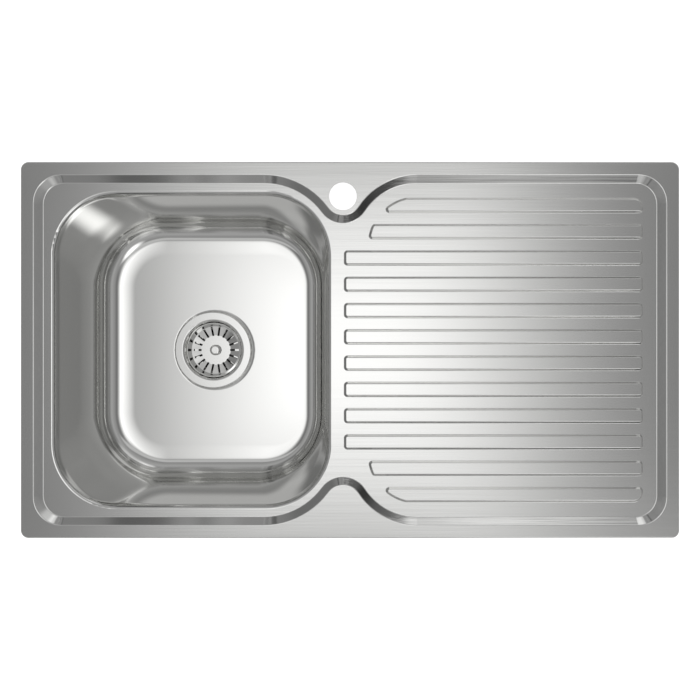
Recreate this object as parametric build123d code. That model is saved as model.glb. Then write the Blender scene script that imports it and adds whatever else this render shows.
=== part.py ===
from build123d import *
from math import atan2, copysign, degrees, radians, sqrt, tan
import os

# Inset kitchen sink with one deep bowl on the left and a ribbed drainboard on the right.
# All sizes are millimetres. The origin is the centre of the outline, on the worktop plane.
# +X runs from the bowl towards the drainboard, +Y towards the back, +Z up.

# ---------- outline, rim and sheet ----------
SINK_LENGTH = 840.0
SINK_WIDTH = 480.0
RIM_CORNER = 10.0
RIM_HEIGHT = 2.5            # top of the rim above the worktop
RIM_EDGE_ROUND = 1.5        # rounding where the rim turns down
SHEET = 0.8                 # stainless sheet
TAP_HOLE_RADIUS = 17.5
TAP_FROM_BOWL = 15.0        # bowl's right edge to the hole centre
TAP_HOLE_FROM_BACK = 44.0   # hole centre to the back edge

# ---------- pressed step around the recess ----------
STEP_FROM_EDGE = 16.6       # rim edge to the top of the step
STEP_DEPTH = 8.0
STEP_SLOPE = 9.0            # how far the step slopes inwards
STEP_CORNER = 36.0
STEP_TOP_ROUND = 2.0
STEP_FOOT_ROUND = 1.8
NOTCH_LAND = 6.5            # flat land between the tap hole and the step around it
SWEEP_LEFT = 102.0          # large curve on the bowl side of the tap notch
SWEEP_RIGHT = 89.5          # large curve on the drainboard side

# ---------- drainboard ribs ----------
RIB_COUNT = 12
RIB_TO_SIDE = 19.175        # flat strip between the outermost ribs and the foot of the step
RIB_FOOT = 19.2             # width at the foot
RIB_RISE = 2.8
RIB_SLOPE = 2.4             # how far each side slopes in
RIB_FROM_BOWL = 16.5        # bowl's right edge to the rib ends
RIB_TO_STEP = 18.5          # flat strip between the rib ends and the foot of the step
RIB_CORNER = 4.5
RIB_END_TRIM = 63.0         # ribs beside the notches end on a circle around the sweep's centre
RIB_TOP_ROUND = 1.2
RIB_FOOT_ROUND = 1.0
RIB_OUTER_CORNER = 12.0     # rounder corner where the outermost ribs meet the sink's corner

# ---------- bowl ----------
BOWL_LENGTH = 360.0         # opening, along X
BOWL_CORNER = 84.0
BOWL_STRIP_END = 10.4       # flat strip between the foot of the step and the opening, on the left
BOWL_STRIP_SIDE = 9.8       # the same at the front and back
BOWL_DEPTH = 170.0          # rim top to bowl floor
LIP_ROUND = 4.5
NECK = 4.0                  # straight collar below the lip, where the bowl is welded on
WALL_DRAFT = 5.9            # degrees
FLOOR_CORNER = 93.0         # plan corner at the foot of the walls
FLOOR_ROUND = 48.0

# ---------- waste, hung in the bowl floor ----------
WASTE_HOLE = 45.0           # radius of the hole in the floor
SEAT_RADIUS = 59.0
SEAT_DEPTH = 1.2
SEAT_SLOPE = 1.5
UPPER_GASKET = 1.6
FLANGE_RADIUS = 57.0
FLANGE_EDGE_ROUND = 2.4
FLANGE_EDGE_GAP = 0.2
CUP_BORE = 42.5             # inner radius of the cup
CUP_LIP = 3.5
CUP_DEPTH = 34.3            # flange top to cup floor
CUP_FLOOR_ROUND = 4.0
CUP_SLOTS = 6
CUP_SLOT_INNER = 12.0
CUP_SLOT_OUTER = 21.0
LOWER_GASKET = 2.5
BODY_CLEARANCE = 0.9        # steel cup to the plastic body
BODY_WALL = 3.0
BODY_FLANGE_RADIUS = 56.0
FUNNEL_BELOW_CUP = 5.7      # cup floor to the top of the body's funnel
FUNNEL_HEIGHT = 20.0
OUTLET_LENGTH = 28.0        # foot of the funnel to the outlet's end
OUTLET_RADIUS = 23.9        # outside of the 1 1/2 inch threaded outlet
OUTLET_BORE = 19.5
OUTLET_THREAD = 24.0        # threaded length
SPOKES = 4
SPOKE_THICK = 3.0
BOSS_RADIUS = 11.5
BOSS_DEPTH = 22.0
INSERT_RADIUS = 8.0
INSERT_LENGTH = 18.0
SCREW_RADIUS = 5.0
SCREW_LENGTH = 27.0
SCREW_HEAD_RADIUS = 8.0
SCREW_HEAD = 3.7
SCREW_SLOT = 1.8
PLAY = 0.05                 # play between pieces fixed to each other

# ---------- strainer basket ----------
BASKET_RADIUS = 41.0
BASKET_BELOW_FLANGE = 4.0
BASKET_RING = 3.0           # width of its rolled ring
BASKET_RING_FALL = 1.2      # ring's outer edge below its inner edge
BASKET_FLOOR_RADIUS = 22.5
BASKET_DISH_RADIUS = 36.0   # slotted dish between the flat floor and the wall
BASKET_DISH_RISE = 2.8
BASKET_SHEET = 0.7
BASKET_SLOTS = 18
BASKET_SLOT_WIDTH = 3.0
BASKET_SLOT_NICK = 0.8      # how far a slot cuts into the flat floor
BASKET_SLOT_MARGIN = 0.5    # from a slot to the steep wall
KNOB_RADIUS = 8.0
KNOB_HEIGHT = 9.0
STEM_RADIUS = 3.0
STEM_FIT = 0.08             # running clearance of the stem in the hollow screw
STEM_LENGTH = 18.0          # below the basket floor
SEAL_RADIUS = 27.0
SEAL_HEIGHT = 8.4           # whole seal, from the basket's underside to the lip
SEAL_THICK = 2.5
SEAL_LIP = 4.5
SEAL_LIFT = 0.2             # seal lip above the cup floor
WASHER_RADIUS = 12.0
WASHER_THICK = 1.0
CLIP_RING_RADIUS = 5.5
CLIP_RING_THICK = 0.5

# ---------- sound pads ----------
PAD_THICK = 2.0
PAD_CORNER = 4.0
BOWL_PAD_FROM_WASTE = 9.0   # clear of the waste body's flange
BOWL_PAD_SIDE_MARGIN = 12.4     # to the edge of the floor's flat
BOWL_PAD_END_MARGIN = 26.0
BOARD_PAD_END_MARGIN = 66.0     # to the ends of the ribs
BOARD_PAD_SIDE_MARGIN = 60.0    # to the foot of the step
BOARD_PAD_APART = 59.0          # between the two pads

# ---------- seal strip and worktop clips ----------
STRIP_FROM_EDGE = 1.6
STRIP_WIDTH = 8.0
CLIP_FROM_SIDE = 130.0      # clips on the short sides, from the front or back edge
CLIP_FROM_LEFT = 150.0      # clips on the long sides, from the left edge
CLIP_FROM_RIGHT = 190.0     # and from the right edge
BRACKET_GAP = 0.6           # foot of the step to the bracket
BRACKET_WIDTH = 9.2
BRACKET_LENGTH = 26.0
BRACKET_DROP = 9.0
BRACKET_WALL = 1.0
BRACKET_SLOT = 5.6
BOLT_RADIUS = 2.5
BOLT_END = 60.0             # lower end, below the worktop plane
BOLT_HEAD = (6.8, 14.0, 2.0)
CLIP_FIT = 0.08             # running clearance on the bolt
CLAW_TOP = 52.0             # top of the lowered claw's plate, below the worktop plane
CLAW_PLATE = 2.0
CLAW_WIDTH = 11.0
CLAW_REACH = 29.0
CLAW_TAIL = 9.0
CLAW_TEETH = 7.0
CLAW_TOOTH_COUNT = 4
NUT_FLATS = 8.0
NUT_HEIGHT = 4.0
CLIP_WASHER_RADIUS = 5.0
CLIP_WASHER_THICK = 1.0

# ---------- places worked out from the sizes ----------
half_length = SINK_LENGTH / 2
half_width = SINK_WIDTH / 2
recess_z = RIM_HEIGHT - STEP_DEPTH
step_x = half_length - STEP_FROM_EDGE
step_y = half_width - STEP_FROM_EDGE
foot_x = step_x - STEP_SLOPE
foot_y = step_y - STEP_SLOPE
bowl_width = 2 * (foot_y - BOWL_STRIP_SIDE)
bowl_left = -foot_x + BOWL_STRIP_END
bowl_right = bowl_left + BOWL_LENGTH
drain = ((bowl_left + bowl_right) / 2, 0.0)
neck_z = recess_z - LIP_ROUND - NECK
floor_z = RIM_HEIGHT - BOWL_DEPTH
wall_lean = (neck_z - floor_z) * tan(radians(WALL_DRAFT))
floor_bend = FLOOR_ROUND * tan(radians(90 - WALL_DRAFT) / 2)
flat_x = BOWL_LENGTH / 2 - LIP_ROUND - wall_lean - floor_bend
flat_y = bowl_width / 2 - LIP_ROUND - wall_lean - floor_bend
tap_hole = (bowl_right + TAP_FROM_BOWL, half_width - TAP_HOLE_FROM_BACK)
notch_radius = TAP_HOLE_RADIUS + NOTCH_LAND
rib_start = bowl_right + RIB_FROM_BOWL
rib_end = foot_x - RIB_TO_STEP
last_rib_y = foot_y - RIB_TO_SIDE - RIB_FOOT / 2
rib_pitch = 2 * last_rib_y / (RIB_COUNT - 1)
seat_z = floor_z - SEAT_DEPTH
flange_z = seat_z + UPPER_GASKET + SHEET
cup_floor_z = flange_z - CUP_DEPTH
basket_under_z = cup_floor_z + SEAL_LIFT + SEAL_HEIGHT
basket_z = basket_under_z + BASKET_SHEET
stem_end_z = basket_under_z - STEM_LENGTH
bracket_z = recess_z - SHEET
clip_inset = STEP_FROM_EDGE + STEP_SLOPE + BRACKET_GAP + BRACKET_WIDTH / 2
pocket = BRACKET_DROP - BRACKET_WALL


def skin_shift(run, rise, skin):
    """How far a slope's edge moves sideways when the sheet's underside is laid one skin below."""
    return skin * tan(atan2(rise, run) / 2)


def rounded(length, width, corner, z=0.0, at=(0.0, 0.0)):
    """A flat rounded rectangle at a height."""
    return Plane((at[0], at[1], z)) * RectangleRounded(length, width, corner)


def turned(points, at=drain):
    """A ring or disc turned about the waste's axis from a radius and height outline."""
    outline = Plane.XZ * make_face(Polyline(*[(r, z) for r, z in points], close=True))
    return Pos(at[0], at[1], 0) * revolve(outline, Axis.Z)


def tube(outer, inner, top, bottom, at=drain):
    """A plain ring between two heights; no bore when inner is zero."""
    ring = Circle(outer) - Circle(inner) if inner > 0 else Circle(outer)
    return extrude(Plane((at[0], at[1], bottom)) * ring, amount=top - bottom)


def point_on(centre, radius, toward):
    """The point of a circle on the side of another point."""
    dx, dy = toward[0] - centre[0], toward[1] - centre[1]
    size = sqrt(dx ** 2 + dy ** 2)
    return centre[0] + dx / size * radius, centre[1] + dy / size * radius


def sweep_centre(radius, side):
    """Centre of a large notch curve that meets the straight side and the curve round the tap hole."""
    y = step_y - radius
    reach = radius + notch_radius
    return tap_hole[0] + side * sqrt(reach ** 2 - (tap_hole[1] - y) ** 2), y


def recess_outline(inset):
    """Outline of the recess, moved inwards by inset, with the tap notch mirrored on the front side."""
    x, y = step_x - inset, step_y - inset
    corner = STEP_CORNER - inset
    hole_arc, left_arc, right_arc = notch_radius + inset, SWEEP_LEFT - inset, SWEEP_RIGHT - inset
    left, right = sweep_centre(SWEEP_LEFT, -1), sweep_centre(SWEEP_RIGHT, 1)
    left_start, left_end = (left[0], y), point_on(left, left_arc, tap_hole)
    right_start, right_end = (right[0], y), point_on(right, right_arc, tap_hole)

    def arc(centre, radius, start, end, flip):
        chord_middle = ((start[0] + end[0]) / 2, (start[1] + end[1]) / 2)
        points = (start, point_on(centre, radius, chord_middle), end)
        return ThreePointArc(*[(px, flip * py) for px, py in points])

    def line(start, end, flip=1):
        return Line((start[0], flip * start[1]), (end[0], flip * end[1]))

    edges = [line((side * x, corner - y), (side * x, y - corner)) for side in (-1, 1)]
    for flip in (-1, 1):
        edges += [
            line((corner - x, y), left_start, flip),
            arc(left, left_arc, left_start, left_end, flip),
            arc(tap_hole, hole_arc, left_end, right_end, flip),
            arc(right, right_arc, right_end, right_start, flip),
            line(right_start, (x - corner, y), flip),
        ]
        for side in (-1, 1):
            centre = (side * (x - corner), y - corner)
            edges.append(arc(centre, corner, (side * x, y - corner), (side * (x - corner), y), flip))
    return make_face(edges)


def rib_outline(index, inset):
    """Foot outline of one rib; those beside the notches are cut back on a circle."""
    y = index * rib_pitch - last_rib_y
    centre_x = (rib_start + rib_end) / 2
    face = Pos(centre_x, y) * Rectangle(rib_end - rib_start, RIB_FOOT)
    right = sweep_centre(SWEEP_RIGHT, 1)
    outermost = index in (0, RIB_COUNT - 1)
    if outermost or index in (1, RIB_COUNT - 2):
        flip = 1 if y > 0 else -1
        keep = Pos(right[0], flip * right[1]) * Circle(RIB_END_TRIM)
        keep += Pos((right[0] + rib_end) / 2 + 1, y) * Rectangle(rib_end - right[0] + 2, 4 * RIB_FOOT)
        face &= keep
    corners = face.vertices()
    outer = [v for v in corners if outermost and v.X > centre_x and abs(v.Y) > abs(y)]
    face = fillet([v for v in corners if v not in outer], RIB_CORNER)
    if outer:
        outer = [v for v in face.vertices() if (v - outer[0].center()).center().length < 0.01]
        face = fillet(outer, RIB_OUTER_CORNER)
    return offset(face, -inset) if inset > 0 else face


def sloped(face, top, bottom, run):
    """A solid between two heights whose sides lean inwards, from its wide end."""
    lean = degrees(atan2(run, abs(top - bottom)))
    return extrude(Pos(0, 0, top) * face, amount=abs(top - bottom),
                   dir=(0, 0, -1 if top > bottom else 1), taper=lean)


def edges_at(form, z, inside):
    """Edges lying flat at a height whose centre is inside a plan test."""
    return [e for e in form.edges()
            if abs(e.bounding_box().min.Z - z) < 0.01 and abs(e.bounding_box().max.Z - z) < 0.01
            and inside(e.center())]


def deck_form(skin):
    """The solid below the deck's upper face, or below its lower face one skin down."""
    top, recess = RIM_HEIGHT - skin, recess_z - skin
    step_shift = skin_shift(STEP_SLOPE, STEP_DEPTH, skin)
    rib_shift = skin_shift(RIB_SLOPE, RIB_RISE, skin)
    base = neck_z - skin
    form = extrude(rounded(SINK_LENGTH - 2 * skin, SINK_WIDTH - 2 * skin, RIM_CORNER - skin, base),
                   amount=top - base)
    form = fillet(edges_at(form, top, lambda c: True), RIM_EDGE_ROUND - skin)
    form -= sloped(recess_outline(-step_shift), top, recess, STEP_SLOPE)
    form = fillet(edges_at(form, top, lambda c: abs(c.X) < step_x + 1 and abs(c.Y) < step_y + 1),
                  STEP_TOP_ROUND - skin)
    form = fillet(edges_at(form, recess, lambda c: True), STEP_FOOT_ROUND + skin)
    for index in range(RIB_COUNT):
        rib = sloped(rib_outline(index, rib_shift), recess, recess + RIB_RISE, RIB_SLOPE)
        form += fillet(edges_at(rib, recess + RIB_RISE, lambda c: True), RIB_TOP_ROUND - skin)
    form = fillet(edges_at(form, recess, lambda c: rib_start - 1 < c.X < rib_end + 1
                           and abs(c.Y) < last_rib_y + RIB_FOOT / 2 + 0.5), RIB_FOOT_ROUND + skin)
    lip = LIP_ROUND - skin
    mouth = rounded(BOWL_LENGTH - 2 * lip, bowl_width - 2 * lip, BOWL_CORNER - lip, base, drain)
    form -= extrude(mouth, amount=recess - base + 1)
    return fillet(edges_at(form, recess, lambda c: bowl_left < c.X < bowl_right
                           and abs(c.Y) < bowl_width / 2), lip)


def sink_deck():
    """Rim, step, ribbed drainboard and the collar of the bowl's mouth, pressed from one sheet."""
    sheet = deck_form(0.0) - deck_form(SHEET)
    below_rim = extrude(rounded(SINK_LENGTH + 20, SINK_WIDTH + 20, RIM_CORNER + 10, neck_z - 5),
                        amount=-(neck_z - 5))
    below_rim -= extrude(rounded(SINK_LENGTH - 10, SINK_WIDTH - 10, RIM_CORNER - 5, neck_z - 5),
                         amount=-(neck_z - 5))
    sheet -= below_rim
    return sheet - tube(TAP_HOLE_RADIUS, 0, RIM_HEIGHT + 1, 0, tap_hole)


def bowl_form(skin):
    """The bowl's inside, or its outside when skin is the sheet's thickness."""
    mouth_x, mouth_y = BOWL_LENGTH - 2 * LIP_ROUND, bowl_width - 2 * LIP_ROUND
    shrink = 2 * (wall_lean - skin)
    sections = [
        rounded(mouth_x + 2 * skin, mouth_y + 2 * skin, BOWL_CORNER - LIP_ROUND + skin, neck_z, drain),
        rounded(mouth_x - shrink, mouth_y - shrink, FLOOR_CORNER + skin, floor_z - skin, drain),
    ]
    form = loft(sections, ruled=True)
    form = fillet(edges_at(form, floor_z - skin, lambda c: True), FLOOR_ROUND + skin)
    shift = skin_shift(SEAT_SLOPE, SEAT_DEPTH, skin)
    seat = [(0, floor_z - skin), (SEAT_RADIUS + SEAT_SLOPE + shift, floor_z - skin),
            (SEAT_RADIUS + shift, seat_z - skin), (0, seat_z - skin)]
    return form + turned(seat)


def sink_bowl():
    return bowl_form(SHEET) - bowl_form(0.0) - tube(WASTE_HOLE, 0, floor_z, seat_z - 5)


# ---------- foam strip under the rim ----------
def rim_seal():
    """Four straight strips laid inside the turned-down edge, butted at the corners."""
    long_y = half_width - STRIP_FROM_EDGE - STRIP_WIDTH / 2
    short_x = half_length - STRIP_FROM_EDGE - STRIP_WIDTH / 2
    long_run = SINK_LENGTH - 2 * RIM_CORNER
    short_run = SINK_WIDTH - 2 * STRIP_FROM_EDGE - 2 * STRIP_WIDTH - 1
    depth = RIM_HEIGHT - SHEET
    strips = []
    for side in (-1, 1):
        strips.append(Pos(0, side * long_y, depth / 2) * Box(long_run, STRIP_WIDTH, depth))
        strips.append(Pos(side * short_x, 0, depth / 2) * Box(STRIP_WIDTH, short_run, depth))
    return Compound(children=strips)


# ---------- sound pads ----------
def pads(length, inner_y, outer_y, x, top):
    """A pair of rounded pads stuck under a face, one in front and one behind."""
    width, y = outer_y - inner_y, (outer_y + inner_y) / 2
    faces = [rounded(length, width, PAD_CORNER, top - PAD_THICK, (x, side * y)) for side in (-1, 1)]
    return Compound(children=[extrude(face, amount=PAD_THICK) for face in faces])


def bowl_sound_pads():
    """Under the bowl floor, in front of the waste and behind it."""
    inner_y = BODY_FLANGE_RADIUS + SEAT_SLOPE + BOWL_PAD_FROM_WASTE
    return pads(2 * (flat_x - BOWL_PAD_END_MARGIN), inner_y, flat_y - BOWL_PAD_SIDE_MARGIN,
                drain[0], floor_z - SHEET)


def board_sound_pads():
    """Under the drainboard, bridging the hollow ribs."""
    length = rib_end - rib_start - 2 * BOARD_PAD_END_MARGIN
    return pads(length, BOARD_PAD_APART / 2, foot_y - BOARD_PAD_SIDE_MARGIN,
                (rib_start + rib_end) / 2, recess_z - SHEET)


# ---------- waste ----------
def waste_cup():
    """Stainless cup with its flange in the bowl floor; slots in its floor let the water through."""
    r_edge, r_wall = FLANGE_RADIUS, CUP_BORE
    under, low = flange_z - SHEET, seat_z + FLANGE_EDGE_GAP
    cup_foot = cup_floor_z - SHEET
    shell = turned([(0, cup_foot), (r_wall + SHEET, cup_foot), (r_wall + SHEET, under),
                    (r_edge - SHEET, under), (r_edge - SHEET, low), (r_edge, low), (r_edge, flange_z),
                    (r_wall, flange_z), (r_wall, cup_floor_z), (0, cup_floor_z)])

    def ring_edges(radius, z):
        return [e for e in edges_at(shell, z, lambda c: True)
                if e.geom_type == GeomType.CIRCLE and abs(e.radius - radius) < 0.01]

    for radius, z, size in ((r_wall, flange_z, CUP_LIP), (r_wall + SHEET, under, CUP_LIP - SHEET),
                            (r_edge, flange_z, FLANGE_EDGE_ROUND - SHEET),
                            (r_edge - SHEET, under, 0.5),
                            (r_wall, cup_floor_z, CUP_FLOOR_ROUND - SHEET),
                            (r_wall + SHEET, cup_foot, CUP_FLOOR_ROUND)):
        shell = fillet(ring_edges(radius, z), size)
    middle = (CUP_SLOT_INNER + CUP_SLOT_OUTER) / 2
    width = CUP_SLOT_OUTER - CUP_SLOT_INNER
    for index in range(CUP_SLOTS):
        turn = 360 / CUP_SLOTS * (index + 0.5)
        hole = Plane((drain[0], drain[1], cup_foot - 1)) * Rot(0, 0, turn) * Pos(middle, 0) * SlotOverall(
            width * 1.35, width, rotation=90)
        shell -= extrude(hole, amount=SHEET + 2)
    return shell - tube(SCREW_RADIUS + PLAY, 0, cup_floor_z + 1, cup_foot - 1)


def upper_gasket():
    return tube(FLANGE_RADIUS - 2.5, WASTE_HOLE + 1.2, flange_z - SHEET, seat_z)


def lower_gasket():
    top = seat_z - SHEET
    return tube(BODY_FLANGE_RADIUS - 1, WASTE_HOLE + 0.2, top, top - LOWER_GASKET)


def waste_body():
    """Plastic body drawn up from below by the central screw, its threaded outlet at the foot."""
    top = seat_z - SHEET - LOWER_GASKET
    inner = CUP_BORE + SHEET + BODY_CLEARANCE
    outer = inner + BODY_WALL
    z_funnel = cup_floor_z - FUNNEL_BELOW_CUP
    z_foot = z_funnel - FUNNEL_HEIGHT
    z_end = z_foot - OUTLET_LENGTH
    shoulder = OUTLET_RADIUS + 2
    z_thread = z_end + OUTLET_THREAD
    body = turned([(inner, top), (BODY_FLANGE_RADIUS, top), (BODY_FLANGE_RADIUS, top - BODY_WALL),
                   (outer, top - BODY_WALL), (outer, z_funnel - 1.2), (shoulder, z_foot - 1.2),
                   (shoulder, z_thread), (OUTLET_RADIUS, z_thread), (OUTLET_RADIUS, z_end),
                   (OUTLET_BORE, z_end), (OUTLET_BORE, z_foot), (inner, z_funnel)])
    boss_top = cup_floor_z - SHEET
    spoke_top = boss_top - 3
    spider = tube(BOSS_RADIUS, 0, boss_top, boss_top - BOSS_DEPTH)
    slope = (inner - OUTLET_BORE) / (z_funnel - z_foot)
    foot_reach = inner - (z_funnel - (boss_top - BOSS_DEPTH)) * slope
    for index in range(SPOKES):
        web = make_face(Polyline((BOSS_RADIUS / 2, spoke_top), (inner + 1, spoke_top),
                                 (inner + 1, z_funnel), (foot_reach + 1, boss_top - BOSS_DEPTH),
                                 (BOSS_RADIUS / 2, boss_top - BOSS_DEPTH), close=True))
        web = extrude(Plane.XZ * web, amount=SPOKE_THICK / 2, both=True)
        spider += Pos(*drain) * Rot(0, 0, 360 / SPOKES * index) * web
    body += spider
    return body - tube(INSERT_RADIUS + PLAY, 0, boss_top + 1, boss_top - INSERT_LENGTH) - tube(
        SCREW_RADIUS + 1, 0, boss_top, cup_floor_z - SCREW_LENGTH - 1)


def waste_insert():
    top = cup_floor_z - SHEET
    return tube(INSERT_RADIUS, SCREW_RADIUS + PLAY, top - 0.5, top - INSERT_LENGTH)


def waste_screw():
    """Hollow screw that holds the waste together; the basket's stem runs in its bore."""
    head = tube(SCREW_HEAD_RADIUS, 0, cup_floor_z + SCREW_HEAD, cup_floor_z)
    head = fillet(edges_at(head, cup_floor_z + SCREW_HEAD, lambda c: True), 1.0)
    shank = tube(SCREW_RADIUS, 0, cup_floor_z, cup_floor_z - SCREW_LENGTH)
    screw = head + shank
    slot = Pos(*drain, cup_floor_z + SCREW_HEAD) * Box(2 * SCREW_HEAD_RADIUS + 1, SCREW_SLOT, 2.4)
    return screw - slot - tube(STEM_RADIUS + STEM_FIT, 0, cup_floor_z + SCREW_HEAD + 1, stem_end_z - 1.5)


# ---------- strainer basket ----------
def strainer_basket():
    """Pressed basket: sloping ring, steep wall, slotted dish and a flat floor."""
    top = flange_z - BASKET_BELOW_FLANGE
    r_wall, t = BASKET_RADIUS - BASKET_RING, BASKET_SHEET
    ring_edge, dish_z = top - BASKET_RING_FALL, basket_z + BASKET_DISH_RISE
    shell = turned([(0, basket_z - t), (BASKET_FLOOR_RADIUS, basket_z - t),
                    (BASKET_DISH_RADIUS + t, dish_z - t), (r_wall + t, top - 2 * t),
                    (BASKET_RADIUS, ring_edge - t), (BASKET_RADIUS, ring_edge), (r_wall, top),
                    (BASKET_DISH_RADIUS, dish_z), (BASKET_FLOOR_RADIUS, basket_z), (0, basket_z)])
    shell = fillet([e for e in edges_at(shell, ring_edge, lambda c: True)
                    if abs(e.radius - BASKET_RADIUS) < 0.01], t / 2)
    slot_in = BASKET_FLOOR_RADIUS - BASKET_SLOT_NICK
    slot_out = BASKET_DISH_RADIUS - BASKET_SLOT_MARGIN
    for index in range(BASKET_SLOTS):
        cutter = Pos((slot_in + slot_out) / 2, 0, (basket_z + top) / 2) * Box(
            slot_out - slot_in, BASKET_SLOT_WIDTH, 2 * CUP_DEPTH)
        shell -= Pos(*drain) * Rot(0, 0, 360 / BASKET_SLOTS * index) * cutter
    return shell - tube(STEM_RADIUS + PLAY, 0, basket_z + 1, basket_z - 2)


def basket_knob():
    """Low turned knob standing on the basket floor."""
    waist = KNOB_RADIUS * 0.62
    knob = tube(KNOB_RADIUS, 0, basket_z + KNOB_HEIGHT, basket_z + KNOB_HEIGHT * 0.45)
    knob = fillet(edges_at(knob, basket_z + KNOB_HEIGHT, lambda c: True), 3.2)
    knob += tube(waist, 0, basket_z + KNOB_HEIGHT * 0.5, basket_z)
    return knob - tube(STEM_RADIUS + PLAY, 0, basket_z + KNOB_HEIGHT * 0.6, basket_z - 1)


def basket_stem():
    stem = tube(STEM_RADIUS, 0, basket_z + KNOB_HEIGHT * 0.6 - 0.2, stem_end_z)
    return chamfer(edges_at(stem, stem_end_z, lambda c: True), 0.8)


def basket_seal():
    """Rubber disc under the basket with a lip that closes on the cup floor."""
    top, lip = basket_under_z, basket_under_z - SEAL_HEIGHT
    return turned([(STEM_RADIUS + PLAY, top), (SEAL_RADIUS - 5, top), (SEAL_RADIUS, top - SEAL_THICK),
                   (SEAL_RADIUS, lip), (SEAL_RADIUS - SEAL_LIP, lip),
                   (SEAL_RADIUS - SEAL_LIP, top - SEAL_THICK - 1), (WASHER_RADIUS + 3, top - SEAL_THICK),
                   (STEM_RADIUS + PLAY, top - SEAL_THICK)])


def basket_washer():
    top = basket_under_z - SEAL_THICK
    return tube(WASHER_RADIUS, STEM_RADIUS + PLAY, top, top - WASHER_THICK)


def basket_clip_ring():
    top = basket_under_z - SEAL_THICK - WASHER_THICK
    return tube(CLIP_RING_RADIUS, STEM_RADIUS + PLAY / 2, top, top - CLIP_RING_THICK)


# ---------- worktop clips ----------
def clip_places():
    """Bolt axis, outward heading and folded claw's heading, in degrees, of every clip."""
    x, y = half_length - clip_inset, half_width - clip_inset
    end_y = half_width - CLIP_FROM_SIDE
    lengthwise = ((CLIP_FROM_LEFT - half_length, 0), (half_length - CLIP_FROM_RIGHT, 180))
    places = [(side * x, along, 90 - 90 * side, -90 * copysign(1, along))
              for side in (-1, 1) for along in (-end_y, end_y)]
    return places + [(along, side * y, 90 * side, inward)
                     for side in (-1, 1) for along, inward in lengthwise]


def clip_brackets():
    """Channels welded under the flat strip inside the step, open below for the bolts."""
    channel = Pos(0, 0, -BRACKET_DROP / 2) * Box(BRACKET_WIDTH, BRACKET_LENGTH, BRACKET_DROP)
    channel -= Pos(0, 0, -pocket / 2 - BRACKET_WALL / 2) * Box(
        BRACKET_WIDTH - 2 * BRACKET_WALL, BRACKET_LENGTH + 2, pocket - BRACKET_WALL)
    channel -= Pos(0, 0, -BRACKET_DROP) * Box(BRACKET_SLOT, BRACKET_LENGTH + 2, 4 * BRACKET_WALL)
    return Compound(children=[Pos(x, y, bracket_z) * Rot(0, 0, out) * channel
                              for x, y, out, _ in clip_places()])


def clip_bolts():
    """T-headed bolts hanging from the channels."""
    seat = bracket_z - pocket
    bolt = Pos(0, 0, seat + BOLT_HEAD[2] / 2) * Box(*BOLT_HEAD)
    bolt += extrude(Plane((0, 0, -BOLT_END)) * Circle(BOLT_RADIUS), amount=BOLT_END + seat + 0.5)
    return Compound(children=[Pos(x, y, 0) * Rot(0, 0, out) * bolt
                              for x, y, out, _ in clip_places()])


def claw_blank():
    """Bent claw lying along +X from its bolt hole: plate, toothed end turned up, short tail turned up."""
    top, low = -CLAW_TOP, -CLAW_TOP - CLAW_PLATE
    inner, tail = CLAW_REACH - CLAW_PLATE, -CLAW_TAIL + CLAW_PLATE
    profile = make_face(Polyline((-CLAW_TAIL, low), (CLAW_REACH, low), (CLAW_REACH, top + CLAW_TEETH),
                                 (inner, top + CLAW_TEETH), (inner, top), (tail, top),
                                 (tail, top + CLAW_PLATE), (-CLAW_TAIL, top + CLAW_PLATE), close=True))
    claw = extrude(Plane.XZ * profile, amount=CLAW_WIDTH / 2, both=True)
    bends = [e for e in claw.edges().filter_by(Axis.Y)
             if abs(e.center().Z - low) < 0.01 and (e.center().X > CLAW_REACH - 0.1 or e.center().X < 0)]
    claw = fillet(bends, CLAW_PLATE * 0.8)
    pitch = CLAW_WIDTH / CLAW_TOOTH_COUNT
    for index in range(CLAW_TOOTH_COUNT + 1):
        gap = Pos(CLAW_REACH, (index - CLAW_TOOTH_COUNT / 2) * pitch, top + CLAW_TEETH) * Rot(45, 0, 0)
        claw -= gap * Box(4 * CLAW_PLATE, pitch / 2, pitch / 2)
    hole = Plane((0, 0, low - 1)) * Circle(BOLT_RADIUS + CLIP_FIT)
    return claw - extrude(hole, amount=CLAW_PLATE + 2)


def clip_pieces():
    """Claw, washer and nut of every clip, lowered to the end of the bolt and folded inside the cut-out."""
    claw = claw_blank()
    washer_top = -CLAW_TOP - CLAW_PLATE
    washer = tube(CLIP_WASHER_RADIUS, BOLT_RADIUS + CLIP_FIT, washer_top,
                  washer_top - CLIP_WASHER_THICK, (0, 0))
    nut_top = washer_top - CLIP_WASHER_THICK
    hexagon = RegularPolygon(NUT_FLATS / 2, 6, major_radius=False) - Circle(BOLT_RADIUS + CLIP_FIT)
    nut = extrude(Plane((0, 0, nut_top - NUT_HEIGHT)) * hexagon, amount=NUT_HEIGHT)
    pieces = {}
    for number, (x, y, _, inward) in enumerate(clip_places(), start=1):
        pieces[f"clip_claw_{number}"] = Pos(x, y, 0) * Rot(0, 0, inward) * claw
        pieces[f"clip_washer_{number}"] = Pos(x, y, 0) * washer
        pieces[f"clip_nut_{number}"] = Pos(x, y, 0) * nut
    return pieces


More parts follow.
